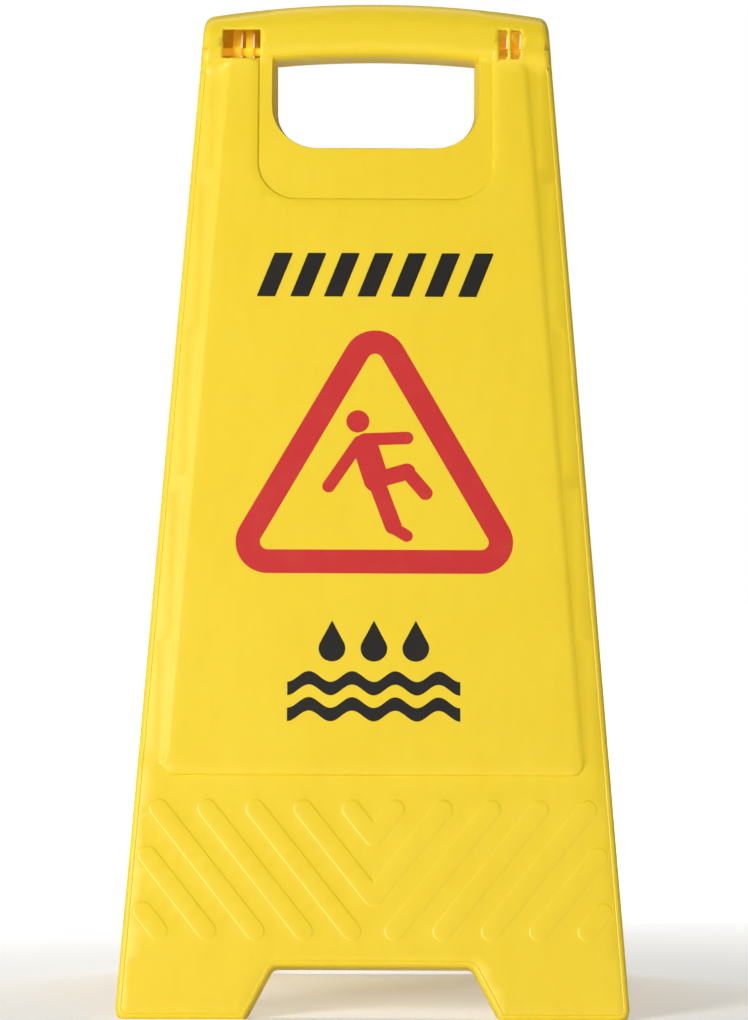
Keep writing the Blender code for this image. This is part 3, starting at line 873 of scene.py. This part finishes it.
def new_material(name):
    """A node material with one Principled shader; returns it, its tree and the shader."""
    made = bpy.data.materials.new(name)
    made.use_nodes = True
    return made, made.node_tree, made.node_tree.nodes["Principled BSDF"]


def add(tree, kind, inputs=(), **settings):
    """Adds a node, sets its settings, and feeds its inputs from values or other sockets."""
    node = tree.nodes.new(kind)
    for key, value in settings.items():
        setattr(node, key, value)
    for key, value in dict(inputs).items():
        if isinstance(value, bpy.types.NodeSocket):
            tree.links.new(value, node.inputs[key])
        else:
            node.inputs[key].default_value = value
    return node


def plastic(name, painted_glow=0.0):
    """Injection-moulded polypropylene in safety yellow, a satin gloss from a fine-textured mould.

    The glow strength is painted light: a warm emission that stands in for the light soaking through
    a thin plate from the side that faces away.
    """
    made, tree, shader = new_material(name)
    # Painted glow: an emission in warm orange makes the plastic give off light though it is no
    # lamp; it is zero unless a glow strength is given.
    shader.inputs["Emission Color"].default_value = linear("F29A26")
    shader.inputs["Emission Strength"].default_value = painted_glow
    place = add(tree, "ShaderNodeTexCoord").outputs["Object"]
    # The pigment is not quite even: broad clouds 60 mm across shift the yellow a little.
    clouds = add(tree, "ShaderNodeTexNoise", {"Vector": place, "Scale": 16.0, "Detail": 3.0})
    body = add(
        tree,
        "ShaderNodeMix",
        {6: linear("F3D123"), 7: linear("F7D933"), 0: clouds.outputs["Fac"]},
        data_type="RGBA",
    )
    # Flow marks run up the panel from the gate, long and soft, about 8 mm apart.
    along = add(tree, "ShaderNodeMapping", {"Vector": place, "Scale": (120.0, 120.0, 9.0)})
    flow = add(
        tree,
        "ShaderNodeTexNoise",
        {"Vector": along.outputs[0], "Scale": 1.0, "Detail": 2.0},
    )
    flow_share = add(
        tree,
        "ShaderNodeMapRange",
        {"Value": flow.outputs["Fac"], "From Min": 0.45, "From Max": 0.8, "To Max": 0.16},
    )
    coloured = add(
        tree,
        "ShaderNodeMix",
        {6: body.outputs[2], 7: linear("EDC418"), 0: flow_share.outputs[0]},
        data_type="RGBA",
    )
    tree.links.new(coloured.outputs[2], shader.inputs["Base Color"])
    # Handling has polished some places and dulled others, in patches about 25 mm across.
    patches = add(tree, "ShaderNodeTexNoise", {"Vector": place, "Scale": 40.0, "Detail": 4.0})
    rough = add(
        tree,
        "ShaderNodeMapRange",
        {"Value": patches.outputs["Fac"], "To Min": 0.36, "To Max": 0.5},
    )
    tree.links.new(rough.outputs[0], shader.inputs["Roughness"])
    # The mould's fine spark texture: real grains are 0.1 mm, drawn at 0.5 mm so that they hold.
    grain = add(tree, "ShaderNodeTexNoise", {"Vector": place, "Scale": 2000.0, "Detail": 2.0})
    # Wide shallow sinks, 30 mm across, keep the flat faces from looking ruled.
    sinks = add(tree, "ShaderNodeTexNoise", {"Vector": place, "Scale": 33.0, "Detail": 1.0})
    fine = add(
        tree,
        "ShaderNodeBump",
        {"Height": grain.outputs["Fac"], "Strength": 0.06, "Distance": 0.0002},
    )
    broad = add(
        tree,
        "ShaderNodeBump",
        {
            "Height": sinks.outputs["Fac"],
            "Normal": fine.outputs[0],
            "Strength": 0.12,
            "Distance": 0.002,
        },
    )
    tree.links.new(broad.outputs[0], shader.inputs["Normal"])
    # Light goes a little way into the plastic, which warms the recesses.
    shader.inputs["Subsurface Weight"].default_value = 0.12
    shader.inputs["Subsurface Radius"].default_value = (1.0, 0.55, 0.08)
    shader.inputs["Subsurface Scale"].default_value = 0.002
    shader.inputs["IOR"].default_value = 1.49
    shader.inputs["Specular IOR Level"].default_value = 0.45
    return made


def ink(name, colour, worn):
    """Screen-print ink: an even satin film with faint thin places left by the mesh."""
    made, tree, shader = new_material(name)
    place = add(tree, "ShaderNodeTexCoord").outputs["Object"]
    # The film thins in places about 12 mm across, where a little of the yellow warms it.
    thin = add(tree, "ShaderNodeTexNoise", {"Vector": place, "Scale": 80.0, "Detail": 5.0})
    share = add(
        tree,
        "ShaderNodeMapRange",
        {"Value": thin.outputs["Fac"], "From Min": 0.5, "From Max": 0.85, "To Max": 0.25},
    )
    film = add(
        tree,
        "ShaderNodeMix",
        {6: linear(colour), 7: linear(worn), 0: share.outputs[0]},
        data_type="RGBA",
    )
    tree.links.new(film.outputs[2], shader.inputs["Base Color"])
    # The mesh leaves an even pimple, 0.3 mm in the ink, drawn at 0.8 mm so that it holds.
    weave = add(tree, "ShaderNodeTexVoronoi", {"Vector": place, "Scale": 1250.0})
    pimple = add(
        tree,
        "ShaderNodeBump",
        {"Height": weave.outputs["Distance"], "Strength": 0.05, "Distance": 0.0002},
    )
    tree.links.new(pimple.outputs[0], shader.inputs["Normal"])
    shine = add(
        tree,
        "ShaderNodeMapRange",
        {"Value": thin.outputs["Fac"], "To Min": 0.42, "To Max": 0.56},
    )
    tree.links.new(shine.outputs[0], shader.inputs["Roughness"])
    shader.inputs["IOR"].default_value = 1.5
    shader.inputs["Specular IOR Level"].default_value = 0.3
    return made


# ---- scene ----


def build_sign():
    yellow = plastic("moulded_yellow_polypropylene")
    # The hinge plates get painted light: a warm emitted glow that stands in for light through the
    # thin plastic.
    thin = plastic("thin_yellow_polypropylene_painted_glow", 0.3)
    red = ink("red_screen_ink", "CC2F2F", "D65236")
    black = ink("black_screen_ink", "1E1B18", "322B1B")
    points, triangles, quads = moulding()
    every_face = [*triangles, *quads]
    hinge = hinge_parts()
    marks = print_parts()
    for side, turn in (("front", 0.0), ("back", math.pi)):
        shell = add_piece(
            f"{side}_moulding",
            world(points, turn),
            every_face,
            yellow,
            side,
            (f"{side}_panel",),
        )
        wall = shell.modifiers.new("wall", "SOLIDIFY")
        wall.thickness = WALL * MM
        wall.offset = -1.0
        for name, part, faces in hinge:
            add_piece(
                f"{side}_{name}",
                world(part, turn),
                faces,
                thin,
                side,
                (f"{side}_panel",),
            )
        for name, part, faces, is_red in marks:
            add_piece(
                f"{side}_{name}_ink",
                world(part, turn),
                faces,
                red if is_red else black,
                side,
                (f"{side}_{name}",),
            )


def area_light(name, place, aim, size, power, colour="FFFFFF"):
    light = bpy.data.lights.new(name, "AREA")
    light.shape = "RECTANGLE"
    light.size, light.size_y = size
    light.energy = power
    light.color = linear(colour)[:3]
    obj = bpy.data.objects.new(name, light)
    bpy.context.scene.collection.objects.link(obj)
    way = np.array(aim, float) - np.array(place, float)
    yaw = math.atan2(-way[0], way[1])
    pitch = math.atan2(math.hypot(way[0], way[1]), -way[2])
    obj.location = place
    obj.rotation_euler = (pitch, 0.0, yaw)
    return obj


def build_room():
    """A wide pale floor that runs out into a white room, and the studio lights."""
    reach = 12.0
    corners = [(-reach, -reach, 0), (reach, -reach, 0), (reach, reach, 0), (-reach, reach, 0)]
    mesh = bpy.data.meshes.new("studio_floor")
    mesh.from_pydata(corners, [], [(0, 1, 2, 3)])
    paper, tree, shader = new_material("seamless_paper")
    place = add(tree, "ShaderNodeTexCoord").outputs["Object"]
    # Paper fibre, 2 mm across, just enough to break the white.
    fibre = add(tree, "ShaderNodeTexNoise", {"Vector": place, "Scale": 500.0})
    tone = add(
        tree,
        "ShaderNodeMix",
        {6: linear("F6F6F5"), 7: linear("FBFBFA"), 0: fibre.outputs["Fac"]},
        data_type="RGBA",
    )
    tree.links.new(tone.outputs[2], shader.inputs["Base Color"])
    shader.inputs["Roughness"].default_value = 0.9
    # Away from the sign the paper is painted brighter, out to plain white, by an emission seen only
    # by the camera; this adds no light to the sign.
    away = add(tree, "ShaderNodeVectorMath", {0: place}, operation="LENGTH").outputs["Value"]
    white = add(
        tree,
        "ShaderNodeMapRange",
        {"Value": away, "From Min": 0.3, "From Max": 1.6, "To Min": 0.25},
    )
    seen = add(tree, "ShaderNodeLightPath").outputs["Is Camera Ray"]
    burn = add(tree, "ShaderNodeMath", {0: white.outputs[0], 1: seen}, operation="MULTIPLY")
    tree.links.new(burn.outputs[0], shader.inputs["Emission Strength"])
    shader.inputs["Emission Color"].default_value = linear("FFFFFF")
    mesh.materials.append(paper)
    floor = bpy.data.objects.new("studio_floor", mesh)
    bpy.context.scene.collection.objects.link(floor)
    key = area_light("key_softbox", (-1.9, -2.7, 0.95), (0, 0, 0.3), (1.1, 1.1), 84)
    fill = area_light("fill_softbox", (1.5, -3.4, 0.4), (0, 0, 0.3), (1.4, 1.4), 15)
    wash = area_light("backdrop_wash", (0, 0.9, 2.6), (0, 2.8, 0.5), (4.0, 0.8), 70)
    sky = bpy.data.worlds.new("soft_white_room")
    sky.use_nodes = True
    shade = sky.node_tree.nodes["Background"]
    # The room's ceiling is dark, so that what faces up takes less light.
    way = add(sky.node_tree, "ShaderNodeTexCoord").outputs["Generated"]
    height = add(sky.node_tree, "ShaderNodeSeparateXYZ", {0: way}).outputs["Z"]
    dark = add(
        sky.node_tree,
        "ShaderNodeMapRange",
        {"Value": height, "From Min": -0.1, "From Max": 0.6, "To Min": 0.46, "To Max": 0.05},
    )
    # Seen directly, the room is plain white.
    seen = add(sky.node_tree, "ShaderNodeLightPath").outputs["Is Camera Ray"]
    strength = add(
        sky.node_tree,
        "ShaderNodeMath",
        {0: dark.outputs[0], 1: seen},
        operation="MAXIMUM",
    )
    sky.node_tree.links.new(strength.outputs[0], shade.inputs["Strength"])
    shade.inputs["Color"].default_value = linear("FFFFFF")
    bpy.context.scene.world = sky
    bpy.context.scene.view_settings.view_transform = "Standard"


def build_camera():
    camera = bpy.data.cameras.new("studio_camera")
    camera.sensor_fit = "VERTICAL"
    camera.sensor_height = 36.0
    camera.lens = 186.97
    camera.shift_x = -0.0005
    camera.shift_y = -0.0117
    obj = bpy.data.objects.new("studio_camera", camera)
    bpy.context.scene.collection.objects.link(obj)
    # Level and square on, 3.2 m away, with a trace of roll.
    obj.location = (0.0, -3.2, 0.30)
    obj.rotation_euler = (math.pi / 2, math.radians(-0.23), 0.0)
    bpy.context.scene.camera = obj


build_sign()
build_room()
build_camera()
